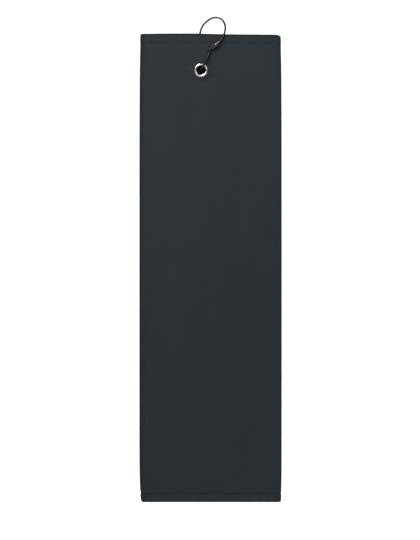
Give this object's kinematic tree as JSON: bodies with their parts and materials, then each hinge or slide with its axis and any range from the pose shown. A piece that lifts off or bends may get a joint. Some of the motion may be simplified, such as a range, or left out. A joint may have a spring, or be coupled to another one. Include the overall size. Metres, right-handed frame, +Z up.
{
  "type": "golf towel",
  "caption": "Golf towel: velour terry folded lengthwise in three, with a grommet and a sprung wire hook over its top edge.",
  "frame": {"origin": "the underside of the wire at the top of the hook's loop, where the towel hangs", "axes": "+Z up along the hanging towel, +X to the right of someone facing its front, -Y out of its front"},
  "size_m": [0.152, 0.0151, 0.518],
  "materials": {
    "velour": "dark blue-grey cut-pile velour, soft and matt",
    "thread": "dark polyester sewing thread, slight sheen",
    "label": "white woven satin, blank",
    "nickel": "bright nickel plating",
    "wire_steel": "dark nickel-plated spring wire",
    "catch_steel": "nickel-plated pressed steel, satin"
  },
  "bodies": {
    "hook": {"hook_wire": "wire_steel", "hook_catch": "catch_steel"},
    "gate": {"hook_gate": "wire_steel"},
    "towel": {"front_top_hem": "velour", "front_top_thread": "thread", "front_panel_top": "velour", "front_side_hem_top": "velour", "front_side_thread_top": "thread", "middle_panel": "velour", "middle_top_hem": "velour", "middle_top_thread": "thread", "middle_bottom_hem": "velour", "middle_bottom_thread": "thread", "right_fold": "velour", "left_fold": "velour", "grommet_eyelet": "nickel", "grommet_washer": "nickel"},
    "front_flap": {"front_panel_flap": "velour", "front_bottom_hem": "velour", "front_bottom_thread": "thread", "front_side_hem_flap": "velour", "front_side_thread_flap": "thread"},
    "back_layer": {"back_panel": "velour", "back_top_hem": "velour", "back_top_thread": "thread", "back_bottom_hem": "velour", "back_bottom_thread": "thread", "back_side_hem": "velour", "back_side_thread": "thread", "care_label": "label"}
  },
  "joints": [
    {"name": "gate_spring", "type": "hinge", "parent": "hook", "child": "gate", "pos_m": [-0.01147, -0.0062, -0.04937], "axis": [0.9622, 0, -0.2723], "range_deg": [0, 25], "stiffness_Nm_per_rad": 0.01, "springref_deg": -5.73},
    {"name": "towel_swing", "type": "hinge", "parent": "hook", "child": "towel", "pos_m": [-0.01533, 0, -0.05555], "axis": [0, 1, 0], "range_deg": [-15, 40]},
    {"name": "front_flap_open", "type": "hinge", "parent": "towel", "child": "front_flap", "pos_m": [0.06857, -0.0013, -0.3], "axis": [0, 0, 1], "range_deg": [0, 120]},
    {"name": "back_layer_open", "type": "hinge", "parent": "towel", "child": "back_layer", "pos_m": [-0.07703, 0.0031, -0.3], "axis": [0, 0, 1], "range_deg": [0, 170]}
  ]
}
